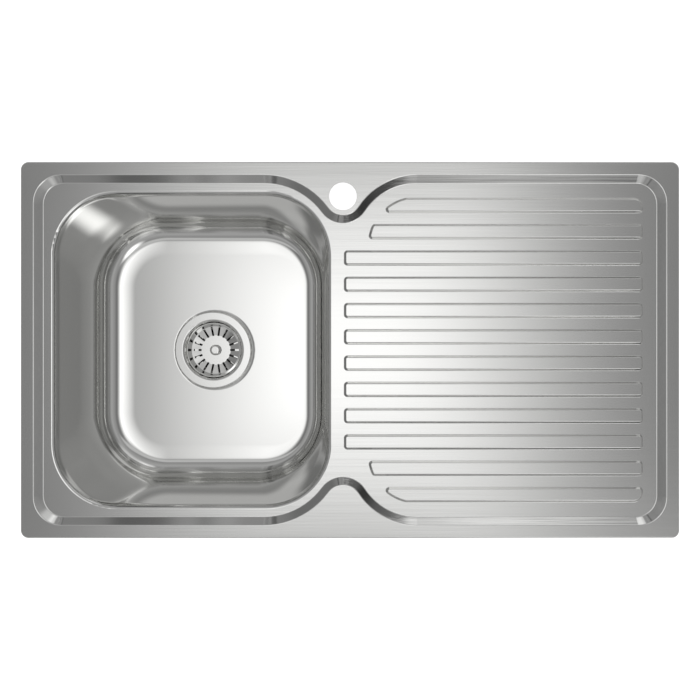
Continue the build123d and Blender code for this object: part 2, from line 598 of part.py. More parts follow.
pieces = {
    "sink_deck": sink_deck(),
    "sink_bowl": sink_bowl(),
    "rim_seal": rim_seal(),
    "bowl_sound_pads": bowl_sound_pads(),
    "board_sound_pads": board_sound_pads(),
    "clip_brackets": clip_brackets(),
    "clip_bolts": clip_bolts(),
    "waste_cup": waste_cup(),
    "upper_gasket": upper_gasket(),
    "lower_gasket": lower_gasket(),
    "waste_body": waste_body(),
    "waste_insert": waste_insert(),
    "waste_screw": waste_screw(),
    "strainer_basket": strainer_basket(),
    "basket_knob": basket_knob(),
    "basket_stem": basket_stem(),
    "basket_seal": basket_seal(),
    "basket_washer": basket_washer(),
    "basket_clip_ring": basket_clip_ring(),
}
pieces.update(clip_pieces())

os.makedirs("parts", exist_ok=True)
for name, piece in pieces.items():
    export_step(piece, f"parts/{name}.step")
print(len(pieces), "pieces written")
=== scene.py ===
# %% [markdown]
# # Inset kitchen sink with drainboard
# A pressed stainless sink, seen from straight above. The shape comes from the CAD frame; this lesson
# gives every piece its finish, adds the small details that a press shop and a plumber leave behind,
# and lights it all as a studio would.

# %% Load the CAD frame
import math

import bpy
from mathutils import Matrix, Vector


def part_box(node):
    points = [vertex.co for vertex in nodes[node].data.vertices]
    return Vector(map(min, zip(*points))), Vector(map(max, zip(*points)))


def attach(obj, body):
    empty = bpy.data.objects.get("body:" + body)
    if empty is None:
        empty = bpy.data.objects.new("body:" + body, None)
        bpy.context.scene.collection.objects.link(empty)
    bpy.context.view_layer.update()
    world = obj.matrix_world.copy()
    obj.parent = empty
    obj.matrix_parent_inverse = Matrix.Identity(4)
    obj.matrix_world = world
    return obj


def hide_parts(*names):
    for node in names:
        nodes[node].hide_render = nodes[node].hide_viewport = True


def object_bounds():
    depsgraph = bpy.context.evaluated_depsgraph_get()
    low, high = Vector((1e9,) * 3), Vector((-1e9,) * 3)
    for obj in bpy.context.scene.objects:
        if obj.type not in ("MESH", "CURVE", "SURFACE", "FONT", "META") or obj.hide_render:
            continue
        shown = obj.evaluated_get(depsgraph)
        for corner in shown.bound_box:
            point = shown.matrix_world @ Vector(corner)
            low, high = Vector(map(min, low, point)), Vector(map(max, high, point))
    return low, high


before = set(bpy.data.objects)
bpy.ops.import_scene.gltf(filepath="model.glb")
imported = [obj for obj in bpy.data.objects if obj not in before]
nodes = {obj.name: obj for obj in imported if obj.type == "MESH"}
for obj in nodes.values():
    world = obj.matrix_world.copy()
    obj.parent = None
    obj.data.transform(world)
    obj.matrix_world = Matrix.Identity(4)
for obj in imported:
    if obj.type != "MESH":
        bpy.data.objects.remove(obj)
cad_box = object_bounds()

# %% [markdown]
# ## Camera
# The photograph looks straight down at the middle of the sink. The bowl floor is drawn 0.855 times as
# large as the rim, which puts the lens about a metre above the rim; a camera that isn't turned
# already looks down -Z with +Y up in the picture, so only its height and lens are set.

# %% Camera straight above the sink
CAMERA_HEIGHT = 1.0045
LENS_MM = 40.43
SENSOR_MM = 36.0

camera_data = bpy.data.cameras.new("photo_camera")
camera_data.sensor_width = SENSOR_MM
camera_data.lens = LENS_MM
camera_data.clip_start, camera_data.clip_end = 0.01, 100
camera = bpy.data.objects.new("photo_camera", camera_data)
camera.location = (0, 0, CAMERA_HEIGHT)
bpy.context.scene.collection.objects.link(camera)
bpy.context.scene.camera = camera
bpy.context.scene.view_settings.view_transform = "Standard"
bpy.context.scene.view_settings.look = "None"
print("field of view:", round(math.degrees(camera_data.angle), 1), "degrees")

# %% [markdown]
# ## Light
# Bare steel shows its surroundings and little else. A flat sheet seen at an angle from straight above
# mirrors the sky at that same angle, so the fading of the deck from white in the middle to grey at
# the corners is a picture of the studio: one large soft light overhead that fades into dim walls.
# The world is that studio. Its brightness follows the angle from the zenith, by a colour ramp.
# On top of that come a glow in front on the right, two over the drainboard and a small lamp, then
# panels low down and at the long ends, and a dark wall on the left. Last come the upright light and
# dark shapes of a room, which the steep step mirrors, with a dark skirting that the ribs mirror.

# %% Helpers for node trees
def add_node(tree, kind, **settings):
    """A new node with its settings; a setting named in_X fills the input X."""
    node = tree.nodes.new(kind)
    for key, value in settings.items():
        if key.startswith("in_"):
            name = key[3:]
            node.inputs[int(name) if name.isdigit() else name].default_value = value
        else:
            setattr(node, key, value)
    return node


def set_ramp(node, stops, interpolation="EASE"):
    """Fills a colour ramp with (position, grey or colour) stops."""
    ramp = node.color_ramp
    ramp.interpolation = interpolation
    while len(ramp.elements) > 1:
        ramp.elements.remove(ramp.elements[-1])
    for index, (place, tone) in enumerate(stops):
        element = ramp.elements[0] if index == 0 else ramp.elements.new(place)
        element.position = place
        element.color = (*tone, 1) if isinstance(tone, tuple) else (tone, tone, tone, 1)
    return node


def feed(tree, socket, value):
    """Sets a plain number on a socket, or links another node's socket to it."""
    if isinstance(value, (int, float)):
        socket.default_value = value
    else:
        tree.links.new(value, socket)


def math_node(tree, operation, *values):
    """A math node fed by sockets or plain numbers; returns its output."""
    node = add_node(tree, "ShaderNodeMath", operation=operation)
    for socket, value in zip(node.inputs, values):
        feed(tree, socket, value)
    return node.outputs[0]


def mix_shaders(tree, share, first, second):
    """Goes from the first shader to the second as share goes from 0 to 1."""
    node = add_node(tree, "ShaderNodeMixShader")
    for socket, source in zip(node.inputs, (share, first, second)):
        tree.links.new(source, socket)
    return node.outputs[0]


# %% The studio as a world
SKY_PEAK = 1.4
SKY_STOPS = (  # zenith angle in degrees, brightness
    (0, 1.40), (4, 1.35), (8, 1.06), (12, 0.75), (14, 0.58), (16, 0.44), (19, 0.29), (23, 0.20),
    (27, 0.205), (33, 0.30), (50, 0.415), (75, 0.31), (90, 0.34))
FRONT_RIGHT = Vector((0.36, -0.36, 1.0)).normalized()
FRONT_RIGHT_GLOW = 0.16
FRONT_RIGHT_SPREAD = 17.0  # degrees, as are the next spreads
OVER_BOARD = Vector((0.155, 0.20, 1.0)).normalized()
BOARD_GLOW, BOARD_SPREAD = 0.13, 8.0
SPOT_AT = Vector((0.32, -0.52, 0.84)).normalized()
SPOT_BRIGHTNESS = 1.25
SPOT_CORE, SPOT_EDGE = 3.0, 15.0
SQUARENESS = 4.0  # 2 would make the overhead light round

world = bpy.data.worlds.new("studio")
world.use_nodes = True
bpy.context.scene.world = world
sky = world.node_tree
sky.nodes.clear()
direction = add_node(sky, "ShaderNodeTexCoord")


def angle_from(tree, source, axis):
    """The angle in right angles (0 to 2) between a direction and an axis."""
    dot = add_node(tree, "ShaderNodeVectorMath", operation="DOT_PRODUCT", in_1=axis)
    tree.links.new(source, dot.inputs[0])
    arc = add_node(tree, "ShaderNodeMath", operation="ARCCOSINE")
    tree.links.new(dot.outputs["Value"], arc.inputs[0])
    share = add_node(tree, "ShaderNodeMath", operation="DIVIDE", in_1=math.pi / 2)
    tree.links.new(arc.outputs[0], share.inputs[0])
    return share.outputs[0]


zenith = angle_from(sky, direction.outputs["Generated"], (0, 0, 1))


# %% The overhead light is squarish, so its falling-off follows rounded squares, not circles
def add_light(first, second):
    """The sum of two lights in the sky."""
    node = add_node(sky, "ShaderNodeMix", data_type="RGBA", blend_type="ADD", in_0=1.0)
    sky.links.new(first, node.inputs[6])
    sky.links.new(second, node.inputs[7])
    return node.outputs[2]


def round_glow(source, axis, brightness, core, edge):
    """A glow round an axis, full as far as core and gone at edge, both in degrees."""
    ramp = set_ramp(add_node(sky, "ShaderNodeValToRGB"),
                    [(core / 90, brightness / SKY_PEAK), (edge / 90, 0.0)])
    sky.links.new(angle_from(sky, source, axis), ramp.inputs[0])
    return ramp.outputs["Color"]


compass = add_node(sky, "ShaderNodeSeparateXYZ")
sky.links.new(direction.outputs["Generated"], compass.inputs[0])
toward_x, toward_y, upward = (compass.outputs[axis] for axis in "XYZ")
aside_y = math_node(sky, "ABSOLUTE", toward_y)
square = math_node(sky, "ADD",
                   math_node(sky, "POWER", math_node(sky, "ABSOLUTE", toward_x), SQUARENESS),
                   math_node(sky, "POWER", aside_y, SQUARENESS))
spread = math_node(sky, "ARCTAN2", math_node(sky, "POWER", square, 1 / SQUARENESS), upward)
overhead = set_ramp(add_node(sky, "ShaderNodeValToRGB"),
                    [(angle / 90, tone / SKY_PEAK) for angle, tone in SKY_STOPS], "LINEAR")
sky.links.new(math_node(sky, "DIVIDE", spread, math.pi / 2), overhead.inputs[0])

# %% The glows; the one over the drainboard is there twice, because front and back are folded
folded = add_node(sky, "ShaderNodeCombineXYZ")
for socket, value in zip(folded.inputs, (toward_x, aside_y, upward)):
    sky.links.new(value, socket)
side_glow = round_glow(direction.outputs["Generated"], FRONT_RIGHT, FRONT_RIGHT_GLOW,
                       0, FRONT_RIGHT_SPREAD)
board_glow = round_glow(folded.outputs[0], OVER_BOARD, BOARD_GLOW, 0, BOARD_SPREAD)
lamp = round_glow(direction.outputs["Generated"], SPOT_AT, SPOT_BRIGHTNESS, SPOT_CORE, SPOT_EDGE)
lights = add_light(add_light(overhead.outputs["Color"], board_glow), add_light(side_glow, lamp))


# %% Low panels behind and in front on the right, the long ends, and a dark wall on the left
def soft_step(source, start_end, height=1.0):
    """Goes smoothly from 0 to height as the value goes from start to end."""
    start, end = start_end
    node = add_node(sky, "ShaderNodeMapRange", interpolation_type="SMOOTHSTEP",
                    in_1=start, in_2=end, in_3=0.0, in_4=height)
    sky.links.new(source, node.inputs[0])
    return node.outputs[0]


def times(*factors):
    """The product of several values in the sky."""
    product = factors[0]
    for factor in factors[1:]:
        product = math_node(sky, "MULTIPLY", product, factor)
    return product


# where each starts and ends: by the zenith angle in right angles, or by the direction's X or Y
LOW_DOWN, RIGHT_SIDE = (0.58, 0.72), (-0.05, 0.06)
PANEL_BEHIND, BEHIND_EDGE = 0.52, (0.45, 0.7)
PANEL_BEFORE, BEFORE_EDGE = 0.18, (-0.45, -0.7)
LONG_ENDS, ENDS_INNER, ENDS_OUTER, ENDS_LOWEST = 0.36, (0.25, 0.36), (0.53, 0.44), (0.46, 0.36)
LEFT_WALL_DARK, LEFT_WALL_EDGE = 0.42, (-0.2, -0.6)

low = soft_step(zenith, LOW_DOWN)
on_right = soft_step(toward_x, RIGHT_SIDE)
behind = times(low, on_right, soft_step(toward_y, BEHIND_EDGE, PANEL_BEHIND / SKY_PEAK))
before = times(low, on_right, soft_step(toward_y, BEFORE_EDGE, PANEL_BEFORE / SKY_PEAK))
long_ends = times(soft_step(aside_y, ENDS_INNER, LONG_ENDS / SKY_PEAK),
                  soft_step(aside_y, ENDS_OUTER), soft_step(zenith, ENDS_LOWEST))
panels = math_node(sky, "ADD", math_node(sky, "ADD", behind, long_ends), before)
dark_left = add_node(sky, "ShaderNodeMix", data_type="RGBA", blend_type="MIX", in_7=(0, 0, 0, 1))
sky.links.new(times(low, soft_step(toward_x, LEFT_WALL_EDGE, LEFT_WALL_DARK)), dark_left.inputs[0])
sky.links.new(add_light(lights, panels), dark_left.inputs[6])

# %% The room below the lights: dark and light upright shapes, which the steep pressed step mirrors
ROOM_SHAPES = (  # how far the direction points to +X, brightness factor
    (-0.90, 1.00), (-0.45, 0.90), (-0.29, 0.78), (-0.28, 0.36), (-0.225, 0.48), (-0.21, 0.88),
    (-0.19, 1.05), (-0.18, 0.54), (-0.165, 0.95), (-0.15, 1.20), (-0.135, 0.86), (0.0, 0.88),
    (0.09, 0.90), (0.15, 1.10), (0.20, 1.10), (0.27, 0.95), (0.32, 0.75), (0.50, 0.72), (0.90, 0.64))
ROOM_PEAK = 1.25
# a dark band just above the horizon, which the ribs' steep sides mirror
SKIRTING_DARK, SKIRTING_TOP, SKIRTING_FOOT = 0.8, (0.79, 0.82), (0.935, 0.90)

across = add_node(sky, "ShaderNodeMapRange", in_1=-1.0, in_2=1.0, in_3=0.0, in_4=1.0)
sky.links.new(toward_x, across.inputs[0])
room = set_ramp(add_node(sky, "ShaderNodeValToRGB"),
                [((x + 1) / 2, factor / ROOM_PEAK) for x, factor in ROOM_SHAPES], "LINEAR")
sky.links.new(across.outputs[0], room.inputs[0])
room_mix = add_node(sky, "ShaderNodeMix", data_type="FLOAT", in_2=1.0)
sky.links.new(low, room_mix.inputs[0])
sky.links.new(math_node(sky, "MULTIPLY", room.outputs["Color"], ROOM_PEAK), room_mix.inputs[3])
skirting = times(soft_step(zenith, SKIRTING_TOP, SKIRTING_DARK),
                 soft_step(zenith, SKIRTING_FOOT), on_right)
without_skirting = math_node(sky, "SUBTRACT", 1.0, skirting)
furnished = add_node(sky, "ShaderNodeVectorMath", operation="SCALE")
sky.links.new(dark_left.outputs[2], furnished.inputs[0])
sky.links.new(times(room_mix.outputs[0], without_skirting), furnished.inputs["Scale"])

# %% The camera sees a plain pale backdrop instead of the studio
BACKDROP = (0.93, 0.93, 0.93, 1)

studio_light = add_node(sky, "ShaderNodeBackground", in_Strength=SKY_PEAK)
sky.links.new(furnished.outputs[0], studio_light.inputs["Color"])
backdrop = add_node(sky, "ShaderNodeBackground", in_Color=BACKDROP, in_Strength=1.0)
seen = add_node(sky, "ShaderNodeLightPath")
sky_out = add_node(sky, "ShaderNodeOutputWorld")
sky.links.new(mix_shaders(sky, seen.outputs["Is Camera Ray"], studio_light.outputs[0],
                          backdrop.outputs[0]), sky_out.inputs["Surface"])
print("studio light nodes:", len(sky.nodes))

# %% [markdown]
# ## Floor
# The product stands on a white sweep just below the waste outlet. It glows a little of its own, so
# that it is as white through the tap hole as beside the sink. From below it lets the
# light and the view through, like a glass table, so that the underside can be looked at.

# %% The white floor
FLOOR_GAP = 0.0015
FLOOR_SIZE = 60.0
FLOOR_TONE = (0.8, 0.8, 0.8, 1)
GLOW_FOR_LIGHT, GLOW_FOR_CAMERA = 0.25, 0.86

floor_height = cad_box[0].z - FLOOR_GAP
bpy.ops.object.select_all(action="DESELECT")
bpy.ops.mesh.primitive_plane_add(size=FLOOR_SIZE, location=(0, 0, floor_height))
floor = bpy.context.object
floor.name = "studio_floor"
floor_paint = bpy.data.materials.new("studio_floor_white")
floor_paint.use_nodes = True
paint = floor_paint.node_tree
paint.nodes.clear()
shade = add_node(paint, "ShaderNodeBsdfDiffuse", in_Color=FLOOR_TONE)
own_glow = add_node(paint, "ShaderNodeEmission", in_Strength=GLOW_FOR_LIGHT)
seen_glow = add_node(paint, "ShaderNodeEmission", in_Strength=GLOW_FOR_CAMERA)
ray = add_node(paint, "ShaderNodeLightPath")
lit = add_node(paint, "ShaderNodeAddShader")
paint.links.new(shade.outputs[0], lit.inputs[0])
paint.links.new(mix_shaders(paint, ray.outputs["Is Camera Ray"], own_glow.outputs[0],
                            seen_glow.outputs[0]), lit.inputs[1])
side = add_node(paint, "ShaderNodeNewGeometry")
clear = add_node(paint, "ShaderNodeBsdfTransparent")
floor_out = add_node(paint, "ShaderNodeOutputMaterial")
paint.links.new(mix_shaders(paint, side.outputs["Backfacing"], lit.outputs[0], clear.outputs[0]),
                floor_out.inputs["Surface"])
floor.data.materials.append(floor_paint)
print("floor at", round(floor_height * 1000, 1), "mm")

# %% [markdown]
# ## Effects that several finishes share
# Three things recur on this sink. Rolling and brushing leave fine lines that run one way. Hands,
# water and handling leave soft clouds in the shine. And a moulded or coated surface has a fine
# pebbled skin. Each is a node group with named inputs, built once, and every finish below sets its
# own values. All of them read object coordinates, which here are the real metres of the frame.

# %% A helper that builds a shader node group
def effect_group(name, inputs, outputs):
    """A shader node group with float or vector inputs; returns the tree and its two end nodes."""
    tree = bpy.data.node_groups.new(name, "ShaderNodeTree")
    for label, value in inputs:
        kind = "NodeSocketVector" if isinstance(value, tuple) else "NodeSocketFloat"
        socket = tree.interface.new_socket(name=label, in_out="INPUT", socket_type=kind)
        socket.default_value = value
    for label in outputs:
        tree.interface.new_socket(name=label, in_out="OUTPUT", socket_type="NodeSocketFloat")
    return tree, tree.nodes.new("NodeGroupInput"), tree.nodes.new("NodeGroupOutput")


def blend_values(tree, share, start, end):
    """Goes from start to end as share goes from 0 to 1; returns the socket."""
    node = add_node(tree, "ShaderNodeMix", data_type="FLOAT")
    for index, value in ((0, share), (2, start), (3, end)):
        feed(tree, node.inputs[index], value)
    return node.outputs[0]


# %% Grain: fine lines that run one way
def make_grain():
    tree, given, made = effect_group(
        "grain", [("Stretch", (20.0, 900.0, 900.0)), ("Contrast", 1.0)], ["Lines"])
    place = add_node(tree, "ShaderNodeTexCoord")
    stretched = add_node(tree, "ShaderNodeVectorMath", operation="MULTIPLY")
    tree.links.new(place.outputs["Object"], stretched.inputs[0])
    tree.links.new(given.outputs["Stretch"], stretched.inputs[1])
    noise = add_node(tree, "ShaderNodeTexNoise", in_Scale=1.0, in_Detail=3.0, in_Roughness=0.65)
    tree.links.new(stretched.outputs[0], noise.inputs["Vector"])
    centred = math_node(tree, "SUBTRACT", noise.outputs["Fac"], 0.5)
    lines = math_node(tree, "MULTIPLY", centred, given.outputs["Contrast"])
    tree.links.new(lines, made.inputs["Lines"])
    return tree


grain = make_grain()

# %% Clouds: soft, large changes in the shine
def make_clouds():
    tree, given, made = effect_group("clouds", [("Size", 0.06), ("Amount", 0.02)], ["Change"])
    place = add_node(tree, "ShaderNodeTexCoord")
    scale = math_node(tree, "DIVIDE", 1.0, given.outputs["Size"])
    noise = add_node(tree, "ShaderNodeTexNoise", in_Detail=4.0, in_Roughness=0.6, in_Distortion=0.4)
    tree.links.new(place.outputs["Object"], noise.inputs["Vector"])
    tree.links.new(scale, noise.inputs["Scale"])
    centred = math_node(tree, "SUBTRACT", noise.outputs["Fac"], 0.5)
    both_ways = math_node(tree, "MULTIPLY", given.outputs["Amount"], 2.0)
    tree.links.new(math_node(tree, "MULTIPLY", centred, both_ways), made.inputs["Change"])
    return tree


clouds = make_clouds()

# %% Pebbles: the fine skin of rubber, plastic, foam and bitumen
def make_pebbles():
    tree, given, made = effect_group(
        "pebbles", [("Size", 0.001), ("Speckle", 0.5)], ["Height", "Fleck"])
    place = add_node(tree, "ShaderNodeTexCoord")
    cells = add_node(tree, "ShaderNodeTexVoronoi", feature="F1")
    tree.links.new(place.outputs["Object"], cells.inputs["Vector"])
    tree.links.new(math_node(tree, "DIVIDE", 1.0, given.outputs["Size"]), cells.inputs["Scale"])
    fine = add_node(tree, "ShaderNodeTexNoise", in_Detail=5.0, in_Roughness=0.7)
    tree.links.new(place.outputs["Object"], fine.inputs["Vector"])
    tree.links.new(math_node(tree, "DIVIDE", 0.6, given.outputs["Size"]), fine.inputs["Scale"])
    domes = math_node(tree, "SUBTRACT", 1.0, cells.outputs["Distance"])
    tree.links.new(math_node(tree, "ADD", domes, fine.outputs["Fac"]), made.inputs["Height"])
    fleck = math_node(tree, "MULTIPLY", fine.outputs["Fac"], given.outputs["Speckle"])
    tree.links.new(fleck, made.inputs["Fleck"])
    return tree


pebbles = make_pebbles()
print("effects:", [g.name for g in bpy.data.node_groups])

# %% [markdown]
# ## Steel finishes
# All the pressed sheet is the same steel, and the difference is in what each area went through.
# The flat deck keeps a satin finish with faint lines along the sink. Where the press bent the
# sheet, and in the drawn bowl, the steel is stretched and shines more, so it mirrors crisply.
# The unseen underside keeps the dull finish of the mill. A mask made from the surface's own
# normal tells flat from bent and top from bottom, and mixes the roughness.

# %% A metal finish with grain and clouds
def metal_finish(name, tone, roughness, grain_stretch, grain_depth, cloud_size, cloud_amount):
    """A metal with directional grain in its bump and clouds in its roughness."""
    finish = bpy.data.materials.new(name)
    finish.use_nodes = True
    tree = finish.node_tree
    shader = tree.nodes["Principled BSDF"]
    shader.inputs["Metallic"].default_value = 1.0
    shader.inputs["Base Color"].default_value = (*tone, 1)
    lines = add_node(tree, "ShaderNodeGroup", node_tree=grain)
    lines.inputs["Stretch"].default_value = grain_stretch
    cloud = add_node(tree, "ShaderNodeGroup", node_tree=clouds)
    cloud.inputs["Size"].default_value = cloud_size
    cloud.inputs["Amount"].default_value = cloud_amount
    level = math_node(tree, "ADD", roughness, cloud.outputs["Change"])
    tree.links.new(level, shader.inputs["Roughness"])
    bump = add_node(tree, "ShaderNodeBump", in_Strength=1.0, in_Distance=grain_depth)
    tree.links.new(lines.outputs["Lines"], bump.inputs["Height"])
    tree.links.new(bump.outputs["Normal"], shader.inputs["Normal"])
    return finish, tree, shader, level


STEEL = (0.80, 0.80, 0.787)
SATIN, FORMED, MILL = 0.17, 0.075, 0.34
STREAK_STRETCH, STREAK_HEIGHT = (2.5, 110.0, 110.0), 6.0
FLAT_Z, BENT_Z = 0.999, 0.97          # upward part of the normal where the sheet is flat or bent
SIDEWAYS_Z, UNDERSIDE_Z = -0.05, -0.3  # and where the mill finish starts and is full

# %% Satin deck steel
def make_deck_steel():
    """Satin on the flats, shinier where the press bent it, dull mill finish below."""
    finish, tree, shader, level = metal_finish(
        "deck_steel", STEEL, SATIN, (14.0, 1100.0, 1100.0), 0.000012, 0.12, 0.012)
    streaks = add_node(tree, "ShaderNodeGroup", node_tree=grain)
    streaks.inputs["Stretch"].default_value = STREAK_STRETCH
    streaks.inputs["Contrast"].default_value = STREAK_HEIGHT
    bump = tree.nodes["Bump"]
    lines = bump.inputs["Height"].links[0].from_socket
    tree.links.new(math_node(tree, "ADD", lines, streaks.outputs["Lines"]), bump.inputs["Height"])
    face = add_node(tree, "ShaderNodeNewGeometry")
    parts = add_node(tree, "ShaderNodeSeparateXYZ")
    tree.links.new(face.outputs["Normal"], parts.inputs[0])
    bent = add_node(tree, "ShaderNodeMapRange", in_1=FLAT_Z, in_2=BENT_Z, in_3=0.0, in_4=1.0)
    tree.links.new(parts.outputs["Z"], bent.inputs[0])
    top = blend_values(tree, bent.outputs[0], level, FORMED)
    below = add_node(tree, "ShaderNodeMapRange",
                     in_1=SIDEWAYS_Z, in_2=UNDERSIDE_Z, in_3=0.0, in_4=1.0)
    tree.links.new(parts.outputs["Z"], below.inputs[0])
    tree.links.new(blend_values(tree, below.outputs[0], top, MILL), shader.inputs["Roughness"])
    return finish


# %% The other metals differ only in their values
METALS = {  # tone, roughness, grain stretch, grain depth, cloud size, cloud amount
    "bowl_steel": (STEEL, FORMED, (500.0, 500.0, 9.0), 0.000004, 0.09, 0.01),
    "waste_steel": (STEEL, 0.07, (60.0, 60.0, 2500.0), 0.000003, 0.05, 0.01),
    "screw_steel": ((0.72, 0.72, 0.70), 0.24, (150.0, 150.0, 3000.0), 0.00001, 0.01, 0.05),
    "mill_steel": ((0.74, 0.74, 0.73), MILL, (25.0, 1400.0, 1400.0), 0.00001, 0.04, 0.05),
    "zinc_plate": ((0.66, 0.68, 0.70), 0.30, (700.0, 700.0, 700.0), 0.000008, 0.008, 0.08),
    "weld_steel": ((0.70, 0.62, 0.50), 0.28, (900.0, 900.0, 900.0), 0.00003, 0.006, 0.12),
    "brass": ((0.83, 0.62, 0.30), 0.22, (300.0, 300.0, 3000.0), 0.000008, 0.01, 0.05)}

deck_steel = make_deck_steel()
bowl_steel, waste_steel, screw_steel, mill_steel, zinc, weld_steel, brass = (
    metal_finish(name, *values)[0] for name, values in METALS.items())
print("metals:", [m.name for m in bpy.data.materials if m.use_nodes])

# %% [markdown]
# ## Soft and moulded pieces
# The strip under the rim is closed-cell foam, the pads under the bowl and drainboard are heavy
# bitumen that stops the sheet from drumming, the gaskets are rubber, and the waste body is
# moulded white plastic. None of them is a metal, and each has its own pebbled skin.

# %% A moulded or rubbery finish
DARK_FLECK, LIGHT_FLECK = 0.3, 0.7
WEAR_SIZE, WEAR_AMOUNT = 0.02, 0.06


def soft_finish(name, dark, light, roughness, pebble, depth):
    """A matt material whose colour goes between two tones, with a pebbled skin."""
    finish = bpy.data.materials.new(name)
    finish.use_nodes = True
    tree = finish.node_tree
    shader = tree.nodes["Principled BSDF"]
    skin = add_node(tree, "ShaderNodeGroup", node_tree=pebbles)
    skin.inputs["Size"].default_value = pebble
    skin.inputs["Speckle"].default_value = 1.0
    colours = set_ramp(add_node(tree, "ShaderNodeValToRGB"),
                       [(DARK_FLECK, dark), (LIGHT_FLECK, light)], "LINEAR")
    tree.links.new(skin.outputs["Fleck"], colours.inputs[0])
    tree.links.new(colours.outputs["Color"], shader.inputs["Base Color"])
    cloud = add_node(tree, "ShaderNodeGroup", node_tree=clouds)
    cloud.inputs["Size"].default_value = WEAR_SIZE
    cloud.inputs["Amount"].default_value = WEAR_AMOUNT
    level = math_node(tree, "ADD", roughness, cloud.outputs["Change"])
    tree.links.new(level, shader.inputs["Roughness"])
    bump = add_node(tree, "ShaderNodeBump", in_Strength=1.0, in_Distance=depth)
    tree.links.new(skin.outputs["Height"], bump.inputs["Height"])
    tree.links.new(bump.outputs["Normal"], shader.inputs["Normal"])
    return finish


SOFT = {  # dark tone, light tone, roughness, pebble size, pebble depth
    "grey_foam": ((0.10, 0.10, 0.11), (0.17, 0.17, 0.18), 0.85, 0.0012, 0.0002),
    "bitumen_pad": ((0.018, 0.018, 0.02), (0.04, 0.04, 0.042), 0.7, 0.0025, 0.0003),
    "black_rubber": ((0.012, 0.012, 0.013), (0.022, 0.022, 0.023), 0.5, 0.0006, 0.00003),
    "white_plastic": ((0.76, 0.76, 0.74), (0.82, 0.82, 0.80), 0.38, 0.0008, 0.000012)}

foam, bitumen, rubber, plastic = (soft_finish(name, *values) for name, values in SOFT.items())

# %% Every CAD piece gets its finish; claws, washers and nuts are zinc-plated

FINISHES = {
    "sink_deck": deck_steel, "sink_bowl": bowl_steel, "rim_seal": foam, "bowl_sound_pads": bitumen,
    "board_sound_pads": bitumen, "clip_brackets": mill_steel, "clip_bolts": zinc,
    "waste_cup": waste_steel, "upper_gasket": rubber, "lower_gasket": rubber,
    "waste_body": plastic, "waste_insert": brass, "waste_screw": screw_steel,
    "strainer_basket": waste_steel, "basket_knob": waste_steel, "basket_stem": screw_steel,
    "basket_seal": rubber, "basket_washer": screw_steel, "basket_clip_ring": screw_steel}

for name, node in nodes.items():
    node.data.materials.clear()
    node.data.materials.append(FINISHES.get(name, zinc))
print("finishes given to", len(nodes), "pieces")

# %% [markdown]
# ## The bowl
# The bowl is drawn from one flat blank. Its walls lean in a little, its corners open out towards the
# foot, and the floor rises in a long flat curve before it turns sharply up into the wall. That
# double curve gives the bright band round the floor. A mirror shows every facet, so the bowl is made
# again here as a fine mesh: outlines, one under the other, are joined ring by ring, and the sheet's
# thickness is added with a Solidify modifier whose outside has a finish of its own. At its foot this
# bowl lies up to 8 mm from the CAD bowl, because the photograph shows another curve there.

# %% One outline of the bowl: a rectangle with round corners
BOWL_MIDDLE = Vector((-0.204, 0.0))
CORNER_STEPS, SIDE_STEPS = 36, 8


def bowl_outline(half_x, half_y, corner, height):
    """Points of a rounded rectangle round the bowl's middle, anticlockwise from the right side."""
    points = []
    for quarter in range(4):
        turn = quarter * math.pi / 2
        away_x, away_y = (half_x, half_y) if quarter % 2 == 0 else (half_y, half_x)
        straight = away_y - corner
        for step in range(SIDE_STEPS):
            points.append((turn, away_x, -straight + 2 * straight * step / SIDE_STEPS))
        for step in range(CORNER_STEPS):
            angle = math.pi / 2 * step / CORNER_STEPS
            points.append((turn, away_x - corner + corner * math.cos(angle),
                           straight + corner * math.sin(angle)))
    return [(BOWL_MIDDLE.x + x * math.cos(turn) - y * math.sin(turn),
             BOWL_MIDDLE.y + x * math.sin(turn) + y * math.cos(turn), height)
            for turn, x, y in points]


# %% The section of the bowl, from its mouth down to the flat floor
MOUTH_X, MOUTH_Y, MOUTH_CORNER = 0.1755, 0.2001, 0.0795
JOINT_HEIGHT, FLOOR_HEIGHT = -0.0130, -0.1675
WALL_LEAN = math.radians(6.1)
FLAT_INSET, FLAT_CORNER = 0.0592, 0.0497
SLOW_CURVE, SLOW_TILT, TIGHT_CURVE = 0.180, math.radians(6.2), 0.0303
RIGHT_INSET, RIGHT_CORNER = 0.0422, 0.0440
RIGHT_TILT, RIGHT_CURVE = math.radians(1.5), 0.0248
WALL_FOOT_CORNER, CORNER_GROWTH = 0.0930, 0.0135
FOOT_TOP_INSET = 0.0129
CORNER_BLEND = 0.09      # height above the floor where the corners are the wall's own
COLLAR_GAP = 0.00003     # keeps the bowl's mouth off the deck's collar
NECK_CURVE = 0.0956
NECK_HEIGHT = -0.0140
NECK_STEPS, WALL_STEPS, SLOW_STEPS, TIGHT_STEPS = 8, 16, 12, 30


def clamped(share):
    """A share kept between 0 and 1."""
    return min(max(share, 0), 1)


def eased(share):
    """A share from 0 to 1 that starts and ends gently."""
    return share * share * (3 - 2 * share)


def wall_corner(inset, height):
    """Corner radius of the outline: from the mouth's to the floor's, each an offset of its own."""
    depth = (NECK_HEIGHT - height) / (NECK_HEIGHT - FLOOR_HEIGHT)
    by_wall = MOUTH_CORNER + CORNER_GROWTH * max(depth, 0)
    by_foot = FLAT_CORNER + FLAT_INSET - inset
    return by_foot + (by_wall - by_foot) * eased(clamped((height - FLOOR_HEIGHT) / CORNER_BLEND))


def right_corner(inset):
    """Corner radius at the right of the outline, by how far the other sides have come in."""
    up_the_foot = min((FLAT_INSET - inset) / (FLAT_INSET - FOOT_TOP_INSET), 1)
    return RIGHT_CORNER + (WALL_FOOT_CORNER - RIGHT_CORNER) * up_the_foot


